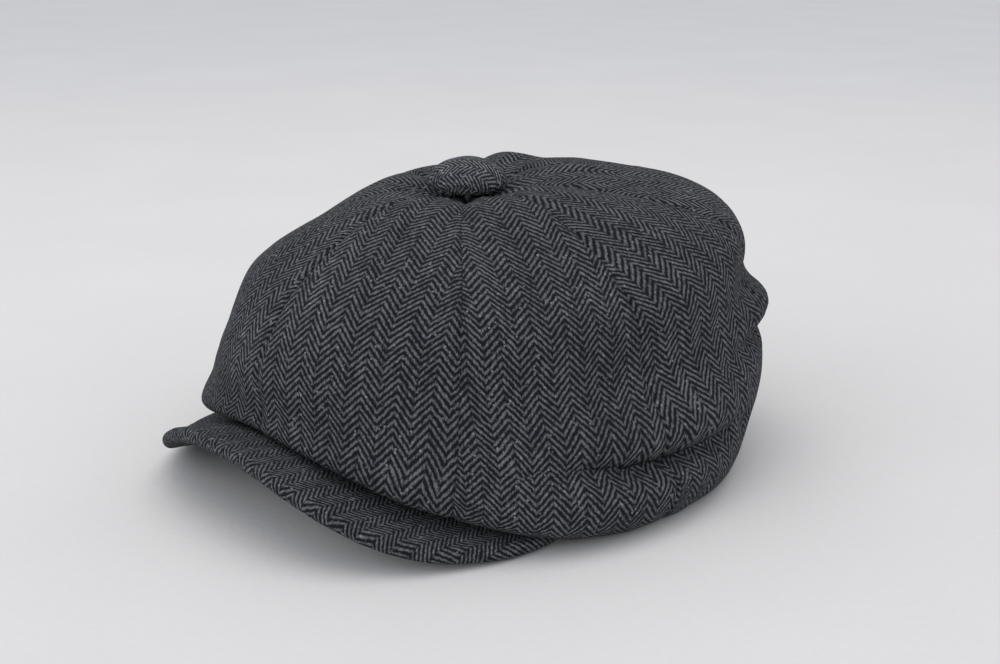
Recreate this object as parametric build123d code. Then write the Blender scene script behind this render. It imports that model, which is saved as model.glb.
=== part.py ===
from build123d import *
import os
from math import cos, pi, radians, sin, sqrt

# Eight-panel newsboy cap, size 58, standing on a table with its peak to -Y.
# Millimetres, +Z up, the wearer's left at +X, the table at Z = 0.
# Angles are degrees round the crown's axis, 0 at the front, 90 at the wearer's left.

# ---- driving dimensions ----------------------------------------------------

PANELS = 8
PANEL_ANGLE = 360 / PANELS
SEAM_GAP_ANGLE = 0.2        # half the gap between two panels, at a seam
SEAM_DIP = 1.2              # how far a seam lies below the middle of its panels

CLOTH = 1.8                 # tweed with its fusible backing
SATIN = 0.8                 # lining
LINING_DEPTH = 4.0          # lining's outer face below the tweed's outer face
LINING_LOW_DEPTH = 7.5      # and where it hangs free inside the walls

# Outline of the crown in five directions, from the button down to the headband:
# (distance from the axis, height) at the tip, the top, the shoulder, the upper
# wall, the lower wall, the overhang, both ends of the stretch that can lie on
# the table, and the headband edge. A height below the table means it lies flat.
FRONT = [(5, 129), (53, 128), (105, 102), (126, 71), (127, 50), (128.5, 41),
         (121, 36.5), (111, 34), (101, 31.5)]
FRONT_SIDE = [(5, 129), (51, 125), (103, 98), (118, 66), (130, 41), (136, 24),
              (125, 15), (111, 15), (95, 17)]
SIDE = [(5, 129), (55, 129), (103, 95), (113, 63), (128, 38), (135.5, 13),
        (127, -0.2), (113, -0.2), (88, 6.5)]
REAR_SIDE = [(5, 129), (61, 131), (122, 113), (135, 77), (142, 50), (138, 13),
             (129, -2), (113, -2), (94, 5)]
REAR = [(5, 129), (64, 134), (128, 121), (143, 76), (150, 49), (143.5, 13),
        (133, -1), (116, -1), (101, 5)]
OUTLINES = [FRONT, FRONT_SIDE, SIDE, REAR_SIDE, REAR]
LIE_START = 6               # stations between which the cloth is straight
LIE_END = 7

LINING_TIP_REACH = 9        # where the lining panels meet round the button's shank
LINING_END_RISE = 9         # lining's lower edge above the headband edge
LINING_END_GAP = 1.8        # and how far outside the headband edge it ends

STAY_TAPE = (0.6, 0.9, 12)  # gap inside the headband edge, thickness, height
SWEATBAND = (1.8, 1.2, 32)  # the same for the sweatband
BAND_START_ANGLE = 178.5    # bands are open at the rear, where their ends meet
BAND_STEPS = 24
BAND_RISE = 0.6             # bands stand this much above the headband edge

REAR_TAPE = (16, 24, 0.7)   # tape over the sweatband's joint: width, height, thickness
REAR_TAPE_GAP = 0.8         # inside the sweatband
REAR_TAPE_RISE = 1.6        # above the headband edge
SIZE_TAB = (14, 18, 0.5)    # blank size tab inside the sweatband's upper edge
SIZE_TAB_ANGLE = 165
SIZE_TAB_GAP = 1.2
SIZE_TAB_RISE = 16
LABEL = (62, 38, 0.5)       # blank satin label under the lining's top
LABEL_CORNER = 3
LABEL_DROP = 6              # below the shank's lower end

VISOR_HALF_WIDTH = 116      # superellipse outline of the peak, seen from above
VISOR_REACH = 147
VISOR_SQUARENESS = 2.75
VISOR_END_ANGLE = 60.5
VISOR_TAPER_ANGLE = 76
VISOR_TAPER_POWER = 12
VISOR_STEPS = 14
VISOR_EDGE_LOW = 3.1        # middle of the peak's thickness, at its corners
VISOR_EDGE_RISE = 32.5       # and how much higher it is at the front
VISOR_ARCH_HALF = 118
VISOR_ARCH_POWER = 2.5
VISOR_ARCH_SOFTNESS = 2.0
VISOR_ROOT_GAP = 0.8        # outside the headband edge
VISOR_ROOT_DROP = 3.2       # middle of the peak below the headband edge, at the front
VISOR_END_DROP = 6.5        # and at its two ends
BOARD = 1.6
VISOR_CLOTH = 1.3
LAYER_GAP = 0.15
VISOR_WRAP = 1.9            # cloth past the board's edge

BUTTON_Z = 130.8            # underside of the button
BUTTON_RADIUS = 17.3
BUTTON_HEIGHT = 12.4
BUTTON_CLOTH = 1.3
BUTTON_EDGE = 3.5           # height of the button's upright rim
SHELL = 0.6
BACK_PLATE = (15.2, 0.8)
SHANK_RADIUS = 1.6
SHANK_BOTTOM = 120.6
RETAINER = (6.5, 0.9)
PATCH = (2.1, 8.4, 0.8)     # tip patch: hole radius, outer radius, thickness
PATCH_Z = 122.2
FITTING_GAP = 0.05          # between the shank and the pieces above and below it
SHELL_GAP = 0.1             # between the button's cloth and its metal mould
DOME_STEPS = 10
PANEL_STEPS = 4
LEVEL = 0.001               # a face this close to level counts as flat


# ---- the crown's shape -----------------------------------------------------

def around(values, angle):
    """Smooth even function of the angle through values at 0, 45, 90, 135 and 180."""
    steps = len(values) - 1
    total = 0
    for k in range(steps + 1):
        wave = 0
        for j, value in enumerate(values):
            share = 0.5 if j in (0, steps) else 1
            wave += share * value * cos(pi * j * k / steps)
        share = 0.5 if k in (0, steps) else 1
        total += share * wave * 2 / steps * cos(k * radians(angle))
    return total


def outline(angle):
    """Crown outline (reach, height) at an angle, drawn in a little at the seams."""
    dip = SEAM_DIP * (0.5 + 0.5 * cos(PANELS * radians(angle)))
    points = []
    for station in range(len(FRONT)):
        reach = around([line[station][0] for line in OUTLINES], angle)
        height = around([line[station][1] for line in OUTLINES], angle)
        if 0 < station < LIE_START:
            reach -= dip
        points.append((reach, max(height, 0)))
    return points


def inset(points, depth):
    """The outline moved towards the inside of the cap by depth."""
    moved = []
    last = len(points) - 1
    for i, (reach, height) in enumerate(points):
        before = points[max(i - 1, 0)]
        after = points[min(i + 1, last)]
        along = (after[0] - before[0], after[1] - before[1])
        length = sqrt(along[0] ** 2 + along[1] ** 2)
        moved.append((reach + along[1] / length * depth, height - along[0] / length * depth))
    return moved


def headband(angle):
    """Reach and height of the headband edge."""
    return outline(angle)[-1]


def at(angle, point):
    """A (reach, height) pair as a point in space."""
    turn = radians(angle)
    return Vector(point[0] * sin(turn), -point[0] * cos(turn), point[1])


def closed_strip(outer, inner):
    """Face between an outer and an inner row of joined edges."""
    tip = Line(outer[0] @ 0, inner[0] @ 0)
    end = Line(outer[-1] @ 1, inner[-1] @ 1)
    return Face(Wire([*outer, end, *inner, tip]))


def cloth_edges(angle, points):
    """Curve down the outside, a straight stretch on the table, and a curve to the headband."""
    places = [at(angle, point) for point in points]
    lying = places[LIE_END] - places[LIE_START]
    start = places[1] - places[0]
    end = places[-1] - places[LIE_END]
    down = Spline(places[:LIE_START + 1], tangents=[start, lying])
    flat = Line(places[LIE_START], places[LIE_END])
    up = Spline(places[LIE_END:], tangents=[lying, end])
    return [down, flat, up]


def polygon_section(angle, corners):
    """Closed section with straight sides."""
    return Face(Wire.make_polygon([at(angle, corner) for corner in corners]))


def panel_angles(number):
    start = number * PANEL_ANGLE + SEAM_GAP_ANGLE
    end = (number + 1) * PANEL_ANGLE - SEAM_GAP_ANGLE
    return [start + (end - start) * i / PANEL_STEPS for i in range(PANEL_STEPS + 1)]


# ---- cloth and lining ------------------------------------------------------

def with_flat_faces(solid):
    """The same solid, with each level face made a true plane."""
    faces = []
    for face in solid.faces():
        level = face.bounding_box().size.Z < LEVEL
        faces.append(Face(face.outer_wire()) if level else face)
    return Solid(Shell(faces))


def crown_panel(number):
    """One gore of the tweed crown, from the button to the headband."""
    sections = []
    for angle in panel_angles(number):
        outer = outline(angle)
        inner = inset(outer, CLOTH)
        sections.append(closed_strip(cloth_edges(angle, outer), cloth_edges(angle, inner)))
    return with_flat_faces(loft(sections))


def lining_outline(angle):
    """The lining follows the crown down to its lower wall, then runs to the headband."""
    points = outline(angle)
    below = inset(points, LINING_DEPTH)
    deeper = inset(points, LINING_LOW_DEPTH)
    reach, height = headband(angle)
    tip = (LINING_TIP_REACH, below[0][1])
    end = (reach + LINING_END_GAP, height + LINING_END_RISE)
    return [tip] + below[1:3] + deeper[3:5] + [end]


def lining_panel(number):
    """One gore of the satin lining."""
    sections = []
    for angle in panel_angles(number):
        outer = lining_outline(angle)
        inner = inset(outer, SATIN)
        outside = Spline([at(angle, point) for point in outer])
        inside = Spline([at(angle, point) for point in inner])
        sections.append(closed_strip([outside], [inside]))
    return loft(sections)


# ---- bands round the head opening ------------------------------------------

def band(gap, thickness, height):
    """An upright band inside the headband edge, open at the rear."""
    sections = []
    for i in range(BAND_STEPS + 1):
        angle = BAND_START_ANGLE * (2 * i / BAND_STEPS - 1)
        reach, level = headband(angle)
        outside = reach - gap
        inside = outside - thickness
        low = level + BAND_RISE
        corners = [(outside, low), (outside, low + height), (inside, low + height), (inside, low)]
        sections.append(polygon_section(angle, corners))
    return loft(sections)


def rear_tape():
    """Short tape that covers the joint of the sweatband inside the rear."""
    width, height, thickness = REAR_TAPE
    reach, level = headband(180)
    back = reach - SWEATBAND[0] - SWEATBAND[1] - REAR_TAPE_GAP
    centre = (0, back - thickness / 2, level + REAR_TAPE_RISE + height / 2)
    return Pos(*centre) * Box(width, thickness, height)


def size_tab():
    """Blank woven tab standing at the sweatband's upper edge, inside the rear left."""
    width, height, thickness = SIZE_TAB
    reach, level = headband(SIZE_TAB_ANGLE)
    inside = reach - SWEATBAND[0] - SWEATBAND[1] - SIZE_TAB_GAP
    place = at(SIZE_TAB_ANGLE, (inside, level + SIZE_TAB_RISE + height / 2))
    return Pos(place) * Rot(0, 0, SIZE_TAB_ANGLE) * Box(width, thickness, height)


def label():
    """Blank satin label that hangs level below the lining's top."""
    width, depth, thickness = LABEL
    shape = fillet(Rectangle(width, depth).vertices(), LABEL_CORNER)
    return Pos(0, 0, SHANK_BOTTOM - LABEL_DROP) * extrude(shape, thickness)


# ---- peak ------------------------------------------------------------------

def visor_edge(angle):
    """Reach and height of the peak's outer edge, at the middle of its thickness."""
    turn = radians(abs(angle))
    across = (sin(turn) / VISOR_HALF_WIDTH) ** VISOR_SQUARENESS
    along = (cos(turn) / VISOR_REACH) ** VISOR_SQUARENESS
    full = (across + along) ** (-1 / VISOR_SQUARENESS)
    root = headband(angle)[0] + VISOR_ROOT_GAP
    taper = sqrt(1 - (abs(angle) / VISOR_TAPER_ANGLE) ** VISOR_TAPER_POWER)
    reach = root + (full - root) * taper
    share = reach * sin(turn) / VISOR_ARCH_HALF
    arch = max(0, 1 - share ** VISOR_ARCH_POWER) ** VISOR_ARCH_SOFTNESS
    return reach, VISOR_EDGE_LOW + VISOR_EDGE_RISE * arch


def visor_line(angle, beyond=0):
    """Root and edge of the peak's middle line, with the edge moved out by beyond."""
    reach, level = headband(angle)
    outward = (angle / VISOR_END_ANGLE) ** 2
    drop = VISOR_ROOT_DROP + (VISOR_END_DROP - VISOR_ROOT_DROP) * outward
    root = (reach + VISOR_ROOT_GAP, level - drop)
    edge = visor_edge(angle)
    slope = (edge[1] - root[1]) / (edge[0] - root[0])
    return root, (edge[0] + beyond, edge[1] + slope * beyond)


def visor_layer(corners_at):
    """A layer of the peak, lofted from end to end."""
    sections = []
    for i in range(VISOR_STEPS + 1):
        angle = VISOR_END_ANGLE * (2 * i / VISOR_STEPS - 1)
        sections.append(polygon_section(angle, corners_at(angle)))
    return loft(sections)


def raised(point, rise):
    return (point[0], point[1] + rise)


def board_corners(angle):
    root, edge = visor_line(angle)
    half = BOARD / 2
    return [raised(root, half), raised(edge, half), raised(edge, -half), raised(root, -half)]


def top_cover_corners(angle):
    """The upper cloth lies on the board and turns down over its edge."""
    root, edge = visor_line(angle, LAYER_GAP)
    wrap = visor_line(angle, VISOR_WRAP)[1]
    low = BOARD / 2 + LAYER_GAP
    high = low + VISOR_CLOTH
    return [raised(root, high), raised(wrap, high), raised(wrap, -low),
            raised(edge, -low), raised(edge, low), raised(root, low)]


def bottom_cover_corners(angle):
    root, edge = visor_line(angle, VISOR_WRAP)
    high = BOARD / 2 + 2 * LAYER_GAP
    low = high + VISOR_CLOTH
    return [raised(root, -high), raised(edge, -high), raised(edge, -low), raised(root, -low)]


# ---- button ----------------------------------------------------------------

def turned(points):
    """A solid of revolution from (radius, height) corners."""
    profile = Face(Wire.make_polygon([(r, 0, z) for r, z in points]))
    return revolve(profile, Axis.Z, 360)


def dome(radius, height, edge, base):
    """A domed disc: an upright rim of height edge under half an ellipsoid."""
    rise = height - edge
    points = [(0, base), (radius, base)]
    for i in range(DOME_STEPS):
        turn = pi / 2 * i / DOME_STEPS
        points.append((radius * cos(turn), base + edge + rise * sin(turn)))
    points.append((0, base + height))
    return turned(points)


def button_cover():
    """Tweed stretched over the button and tucked under its rim."""
    outside = dome(BUTTON_RADIUS, BUTTON_HEIGHT, BUTTON_EDGE, BUTTON_Z)
    inside = dome(BUTTON_RADIUS - BUTTON_CLOTH, BUTTON_HEIGHT - BUTTON_CLOTH, BUTTON_EDGE, BUTTON_Z)
    return outside - inside


def button_shell():
    """Pressed metal mould inside the cloth."""
    gap = BUTTON_CLOTH + SHELL_GAP
    outside = dome(BUTTON_RADIUS - gap, BUTTON_HEIGHT - gap, BUTTON_EDGE, BUTTON_Z)
    gap += SHELL
    inside = dome(BUTTON_RADIUS - gap, BUTTON_HEIGHT - gap, BUTTON_EDGE, BUTTON_Z)
    return outside - inside


def button_back_plate():
    radius, thickness = BACK_PLATE
    return Pos(0, 0, BUTTON_Z + thickness / 2) * Cylinder(radius, thickness)


def button_shank():
    """Post from the back plate down through the tips of the panels."""
    top = BUTTON_Z - FITTING_GAP
    return Pos(0, 0, (top + SHANK_BOTTOM) / 2) * Cylinder(SHANK_RADIUS, top - SHANK_BOTTOM)


def button_retainer():
    """Small disc that holds the shank inside the cap."""
    radius, thickness = RETAINER
    return Pos(0, 0, SHANK_BOTTOM - FITTING_GAP - thickness / 2) * Cylinder(radius, thickness)


def tip_patch():
    """Cloth washer that backs the meeting point of the panels."""
    hole, radius, thickness = PATCH
    ring = Circle(radius) - Circle(hole)
    return Pos(0, 0, PATCH_Z) * extrude(ring, thickness)


# ---- all the pieces --------------------------------------------------------

PANEL_PLACES = ["front_left", "left_front", "left_rear", "rear_left",
                "rear_right", "right_rear", "right_front", "front_right"]

pieces = {}
for number, place in enumerate(PANEL_PLACES):
    pieces["crown_panel_" + place] = crown_panel(number)
    pieces["lining_panel_" + place] = lining_panel(number)
pieces["stay_tape"] = band(*STAY_TAPE)
pieces["sweatband"] = band(*SWEATBAND)
pieces["sweatband_rear_tape"] = rear_tape()
pieces["size_tab"] = size_tab()
pieces["blank_label"] = label()
pieces["tip_patch"] = tip_patch()
pieces["visor_board"] = visor_layer(board_corners)
pieces["visor_top_cover"] = visor_layer(top_cover_corners)
pieces["visor_bottom_cover"] = visor_layer(bottom_cover_corners)
pieces["button_cover"] = button_cover()
pieces["button_shell"] = button_shell()
pieces["button_back_plate"] = button_back_plate()
pieces["button_shank"] = button_shank()
pieces["button_retainer"] = button_retainer()

os.makedirs("parts", exist_ok=True)
for name, piece in pieces.items():
    export_step(piece, "parts/" + name + ".step")
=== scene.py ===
from functools import lru_cache
from math import cos, pi, radians, sin

import bpy
import numpy as np
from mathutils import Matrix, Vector, noise


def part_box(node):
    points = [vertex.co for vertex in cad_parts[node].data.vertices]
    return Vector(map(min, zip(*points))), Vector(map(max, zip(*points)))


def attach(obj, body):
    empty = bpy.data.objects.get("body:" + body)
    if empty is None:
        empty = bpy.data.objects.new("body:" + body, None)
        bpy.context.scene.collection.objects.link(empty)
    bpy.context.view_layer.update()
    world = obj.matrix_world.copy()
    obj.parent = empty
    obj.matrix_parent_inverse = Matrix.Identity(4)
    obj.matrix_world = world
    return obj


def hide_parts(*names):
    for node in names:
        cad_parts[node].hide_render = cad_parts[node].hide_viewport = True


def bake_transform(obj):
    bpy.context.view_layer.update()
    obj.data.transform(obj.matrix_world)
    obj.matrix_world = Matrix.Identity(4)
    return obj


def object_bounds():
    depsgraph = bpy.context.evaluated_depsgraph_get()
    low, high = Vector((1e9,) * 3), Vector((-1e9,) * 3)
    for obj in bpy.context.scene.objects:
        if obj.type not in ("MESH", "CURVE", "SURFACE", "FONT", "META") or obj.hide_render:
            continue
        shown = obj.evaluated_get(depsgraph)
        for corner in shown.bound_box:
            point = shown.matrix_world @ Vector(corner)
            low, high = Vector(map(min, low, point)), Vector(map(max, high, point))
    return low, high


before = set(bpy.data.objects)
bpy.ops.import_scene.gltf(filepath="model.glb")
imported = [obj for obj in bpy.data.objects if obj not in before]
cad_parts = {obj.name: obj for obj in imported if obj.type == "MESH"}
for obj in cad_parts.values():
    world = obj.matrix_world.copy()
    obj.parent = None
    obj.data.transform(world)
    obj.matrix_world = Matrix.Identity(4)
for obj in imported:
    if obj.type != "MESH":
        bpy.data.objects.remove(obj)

CAD_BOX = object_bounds()

# Lengths are in millimetres in this script and become metres when a mesh is made.
# Angles are degrees round the crown's axis: 0 at the front (-Y), 90 at the wearer's
# left (+X). A station counts the rings of the crown's outline from the button down.
MM = 0.001

# ---- sizes read from the frame ----------------------------------------------


def reach_of(node, end, axis):
    """How far a node reaches along an axis, in millimetres."""
    return abs(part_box(node)[end][axis]) / MM


DIAGONAL = sin(radians(45))
REACHES = [
    reach_of("crown_panel_front_left", 0, 1),
    reach_of("crown_panel_front_left", 1, 0) / DIAGONAL,
    reach_of("crown_panel_left_front", 1, 0),
    reach_of("crown_panel_rear_left", 1, 0) / DIAGONAL,
    reach_of("crown_panel_rear_left", 1, 1),
]
CROWN_TOP = reach_of("crown_panel_rear_left", 1, 2)

# Outline of the crown in five directions, as shares of that direction's reach and of
# the crown's height: tip, top, shoulder, upper wall, lower wall, overhang, the two
# ends of the stretch that lies on the table, and the headband edge.
FRONT = [(0.04, 0.955), (0.416, 0.952), (0.825, 0.76), (0.99, 0.528), (0.998, 0.372),
         (1.008, 0.305), (0.95, 0.272), (0.872, 0.254), (0.793, 0.235)]
FRONT_SIDE = [(0.04, 0.955), (0.38, 0.93), (0.767, 0.728), (0.878, 0.49), (0.967, 0.305),
              (1.012, 0.178), (0.93, 0.113), (0.826, 0.113), (0.707, 0.127)]
SIDE = [(0.04, 0.955), (0.405, 0.958), (0.758, 0.706), (0.832, 0.468), (0.942, 0.282),
        (0.997, 0.097), (0.935, 0.004), (0.832, 0.004), (0.648, 0.049)]
REAR_SIDE = [(0.04, 0.955), (0.434, 0.974), (0.868, 0.84), (0.96, 0.572), (1.01, 0.372),
             (0.982, 0.097), (0.918, 0.003), (0.804, 0.003), (0.669, 0.038)]
REAR = [(0.035, 0.955), (0.43, 0.996), (0.86, 0.9), (0.961, 0.565), (1.008, 0.364),
        (0.964, 0.097), (0.894, 0.003), (0.78, 0.003), (0.679, 0.038)]
OUTLINES = [FRONT, FRONT_SIDE, SIDE, REAR_SIDE, REAR]
LAST_STATION = len(FRONT) - 1

PANELS = 8
PANEL_ANGLE = 360 / PANELS
PLACES = ["front_left", "left_front", "left_rear", "rear_left",
          "rear_right", "right_rear", "right_front", "front_right"]

TWEED = 1.5                 # cloth thickness
TABLE_CLEARANCE = 0.3       # lowest cloth above the table
SEAM_DIP = 0.7              # the outline is drawn in this much at a seam
SEAM_VALLEY = 1.0           # and the panels' turned edges dip this much more
SEAM_WIDTH = 1.5
SEAM_GAP = 0.0003           # share of a panel left open at each seam
SEAM_CROWDING = 0.045       # how far the mesh's columns gather towards the seams
ACROSS = 44                 # faces across a panel and along it
ALONG = 150
PUFF = 1.5                  # how far a panel swells between its seams near the button
PUFF_ROUNDNESS = 1.2
PUFF_END = 2.2              # station where the swelling ends, and over how many it fades
PUFF_FADE = 1.6

BUTTON_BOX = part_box("button_cover")
BUTTON_RADIUS = BUTTON_BOX[1][0] / MM
BUTTON_BOTTOM = BUTTON_BOX[0][2] / MM
BUTTON_TOP = BUTTON_BOX[1][2] / MM

VISOR_LOW, VISOR_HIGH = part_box("visor_top_cover")
VISOR_REACH = -VISOR_LOW[1] / MM
VISOR_TOP = VISOR_HIGH[2] / MM


# ---- the crown's smooth shape ------------------------------------------------

def around(values, angle):
    """Smooth even function of the angle through values at 0, 45, 90, 135 and 180."""
    steps = len(values) - 1
    total = 0
    for k in range(steps + 1):
        wave = 0
        for j, value in enumerate(values):
            share = 0.5 if j in (0, steps) else 1
            wave += share * value * cos(pi * j * k / steps)
        share = 0.5 if k in (0, steps) else 1
        total = total + share * wave * 2 / steps * np.cos(k * np.radians(angle))
    return total


def outline(angle):
    """Reach and height of every station at each angle: an array of stations by angles by 2."""
    dip = SEAM_DIP * (0.5 + 0.5 * np.cos(PANELS * np.radians(angle)))
    rows = []
    for station in range(LAST_STATION + 1):
        reaches = [line[station][0] * full for line, full in zip(OUTLINES, REACHES)]
        heights = [line[station][1] * CROWN_TOP for line in OUTLINES]
        inward = dip if 0 < station < 6 else 0
        rows.append(np.stack([around(reaches, angle) - inward, around(heights, angle)], -1))
    return np.array(rows)


def smooth_row(rows, station):
    """Catmull-Rom curve through the rows, at a station that can lie between two of them."""
    last = len(rows) - 1
    place = min(max(station, 0), last - 1e-9)
    i = int(place)
    u = place - i
    p1, p2 = rows[i], rows[i + 1]
    p0 = rows[i - 1] if i > 0 else 2 * p1 - p2
    p3 = rows[i + 2] if i + 2 <= last else 2 * p2 - p1
    slope = p2 - p0
    bend = 2 * p0 - 5 * p1 + 4 * p2 - p3
    twist = 3 * p1 - p0 - 3 * p2 + p3
    return 0.5 * (2 * p1 + slope * u + bend * u ** 2 + twist * u ** 3)


def in_space(angle, flat):
    """(reach, height) pairs at their angles as points in space."""
    turn = np.radians(angle)
    reach, height = flat[..., 0], flat[..., 1]
    return np.stack([reach * np.sin(turn), -reach * np.cos(turn), height], -1)


def crown_grid(angles, stations):
    """Points of the crown at every pair of a station and an angle."""
    angles = np.asarray(angles, float)
    rows = outline(angles)
    return np.array([in_space(angles, smooth_row(rows, station)) for station in stations])


def crown_line(places):
    """A line on the crown through (angle, station) places, as points in space."""
    return np.array([crown_grid(angle, [station])[0] for angle, station in places])


# ---- folds -------------------------------------------------------------------

# Each fold is a line of (angle, station) places, its height (negative for a valley),
# and its half width, in millimetres.
FOLDS = [
    # slouch crease low on the wearer's left, with the cloth swelling above and below it
    ([(62, 4.04), (75, 4.12), (84, 4.18), (93, 4.25), (100, 4.33), (108, 4.42), (118, 4.5)],
     -12, 7.5),
    ([(66, 3.7), (84, 3.78), (95, 3.88), (105, 4.0), (116, 4.1)], 3.4, 9),
    ([(70, 4.55), (86, 4.65), (98, 4.75), (110, 4.9)], 2.8, 9),
    # pointed fold at the rear left and the valleys above and below it
    ([(124, 3.08), (134, 3.1), (144, 3.12), (158, 3.16)], 9.0, 8),
    ([(112, 3.5), (124, 3.44), (138, 3.42), (154, 3.48)], -5.0, 6),
    ([(122, 2.68), (134, 2.66), (148, 2.66)], -3.6, 9),
    # puffed cloth behind the button
    ([(196, 0.7), (210, 0.9), (222, 1.0)], 5.5, 17),
    ([(155, 0.95), (168, 1.0)], 3.0, 15),
    # small tuck where the left seam meets the peak
    ([(38, 4.95), (45, 4.92), (52, 4.95)], -2.6, 3.5),
    # soft creases on the wearer's right and at the back
    ([(-70, 4.1), (-84, 4.2), (-97, 4.3), (-112, 4.5)], -5.5, 7),
    ([(-74, 3.7), (-90, 3.85), (-106, 4.0)], 2.4, 9),
    ([(-128, 3.25), (-142, 3.2), (-158, 3.3)], -3.5, 8),
    ([(-126, 2.9), (-142, 2.85), (-160, 2.95)], 2.6, 9),
    ([(168, 4.1), (180, 4.2), (194, 4.1)], -3.5, 8),
    ([(8, 3.4), (18, 3.5), (30, 3.5)], -0.9, 9),
]

FOLD_END = 0.04             # a fold never quite fades out before its two ends
FOLD_FADE = 0.6             # below 1, a fold keeps its height nearer to its ends

RIPPLES = [(48, 1.5), (19, 0.45), (8, 0.16)]  # size of the random swells and their height

# The cloth round the button: height, distance from the axis, and half width.
BUTTON_SINK = (-2.2, 0, 21)
BUTTON_SWELL = (0.8, 38, 14)
BUTTON_PUCKER = (0.45, 24, 9)
PUCKER_COUNT = 16
PUCKER_TURN = 0.6

LIE_STATION = 6.0           # from here the cloth lies on the table, with no folds
LIE_FADE = 1.2


def fold_fade(share):
    """Strength of a fold at a share of its length."""
    return np.sin(pi * np.clip(share, FOLD_END, 1 - FOLD_END)) ** FOLD_FADE


def ring(away, place, width, power=2):
    """Bell curve of a distance, round a place."""
    return np.exp(-((away - place) / width) ** power)


def distance_to(line, points):
    """Distance from each point to a line of joined places, and how far along it that is."""
    best = np.full(len(points), 1e9)
    share = np.zeros(len(points))
    for i in range(len(line) - 1):
        start, step = line[i], line[i + 1] - line[i]
        t = np.clip((points - start) @ step / (step @ step), 0, 1)
        gap = np.linalg.norm(points - start - t[:, None] * step, axis=1)
        nearer = gap < best
        best[nearer] = gap[nearer]
        share[nearer] = (i + t[nearer]) / (len(line) - 1)
    return best, share


def fold_heights(points):
    """How far all the folds lift each point of the crown."""
    lift = np.zeros(len(points))
    for places, height, width in FOLDS:
        gap, share = distance_to(crown_line(places), points)
        lift += height * fold_fade(share) * np.exp(-(gap / width) ** 2)
    return lift


def ripple_heights(points):
    """Small random swells, the same in every run."""
    lift = np.zeros(len(points))
    for size, height in RIPPLES:
        lift += [height * noise.noise(Vector(p / size)) for p in points]
    return lift


def button_press(points, angle):
    """The cloth sinks under the button and puckers round it."""
    away = np.hypot(points[:, 0], points[:, 1])
    on_top = points[:, 2] > CROWN_TOP / 2
    sink = BUTTON_SINK[0] * ring(away, *BUTTON_SINK[1:], power=4)
    swell = BUTTON_SWELL[0] * ring(away, *BUTTON_SWELL[1:])
    wave = np.cos(PUCKER_COUNT * np.radians(angle) + PUCKER_TURN)
    pucker = BUTTON_PUCKER[0] * ring(away, *BUTTON_PUCKER[1:]) * wave
    return np.where(on_top, sink + swell + pucker, 0)


def unit(vectors):
    """The vectors at length 1."""
    return vectors / np.linalg.norm(vectors, axis=-1, keepdims=True)


def normals_of(grid):
    """Normals of a grid of points, outward where rows go down and columns go round."""
    down = np.gradient(grid, axis=0)
    side = np.gradient(grid, axis=1)
    return unit(np.cross(down, side))


def lengths_along(points):
    """Running length along a row of points."""
    steps = np.linalg.norm(np.diff(points, axis=0), axis=-1)
    return np.concatenate([[0], np.cumsum(steps)])


def roughened(grid, ripples):
    """The grid with random swells of each size and height, the same in every run."""
    swell = [sum(height * noise.noise(Vector(p / size)) for size, height in ripples)
             for p in grid.reshape(-1, 3)]
    return grid + normals_of(grid) * np.array(swell).reshape(*grid.shape[:2], 1)


def even_stations(angle, count):
    """Stations that divide the outline at an angle into equal lengths, and the lengths."""
    fine = np.linspace(0, LAST_STATION, 400)
    run = lengths_along(crown_grid(angle, fine))
    marks = np.linspace(0, run[-1], count + 1)
    return np.interp(marks, run, fine), marks


LEAN = np.array([2.6, 2.8, 0])     # the slouch pulls the crown towards the rear left
LEAN_REACH = (40, 60)       # the lean grows from this reach, over this length
LEAN_HEIGHT = (6, 40)       # and from this height, over this height
PEAK_CLEARANCE = 0.5        # crown above the peak it rests on
PEAK_STATION = 4.6          # only the cloth below this station rests on the peak


def smooth_step(value):
    """Smooth rise from 0 to 1 as the value goes from 0 to 1."""
    value = np.clip(value, 0, 1)
    return value ** 2 * (3 - 2 * value)


def lean_share(points):
    """No lean at the headband, the table or the button; full lean at the walls."""
    away = np.hypot(points[..., 0], points[..., 1])
    walls = smooth_step((away - LEAN_REACH[0]) / LEAN_REACH[1])
    return walls * smooth_step((points[..., 2] - LEAN_HEIGHT[0]) / LEAN_HEIGHT[1])


# The cloth above these creases hangs over them: the crease's number in FOLDS, how far
# the cloth sinks, how far above the crease it sinks most, and over what width.
OVERHANGS = [
    (0, 5.5, 9, 8),
    (4, 3.0, 7, 6),
]
OVERHANG_BELOW = 4          # cloth further below the crease than this stays where it is


def overhang(grid):
    """Lowers the cloth just above a crease so that it hangs over it."""
    points = grid.reshape(-1, 3)
    moved = points.copy()
    for fold, drop, above, width in OVERHANGS:
        line = crown_line(FOLDS[fold][0])
        gap, share = distance_to(line, points)
        place = share * (len(line) - 1)
        height = points[:, 2] - np.interp(place, range(len(line)), line[:, 2])
        gap = gap * np.sign(height)
        near = ring(gap, above, width) * (gap > -OVERHANG_BELOW)
        moved[:, 2] -= drop * fold_fade(share) * near
    return moved.reshape(grid.shape)


def panel_angles(number):
    """Angles across a panel, closer together at its seams, with one more past each seam."""
    shares = np.linspace(SEAM_GAP, 1 - SEAM_GAP, ACROSS + 1)
    shares = shares - SEAM_CROWDING * np.sin(2 * pi * shares)
    step = shares[1] - shares[0]
    shares = np.concatenate([[shares[0] - step], shares, [shares[-1] + step]])
    return (number + shares) * PANEL_ANGLE


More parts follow.
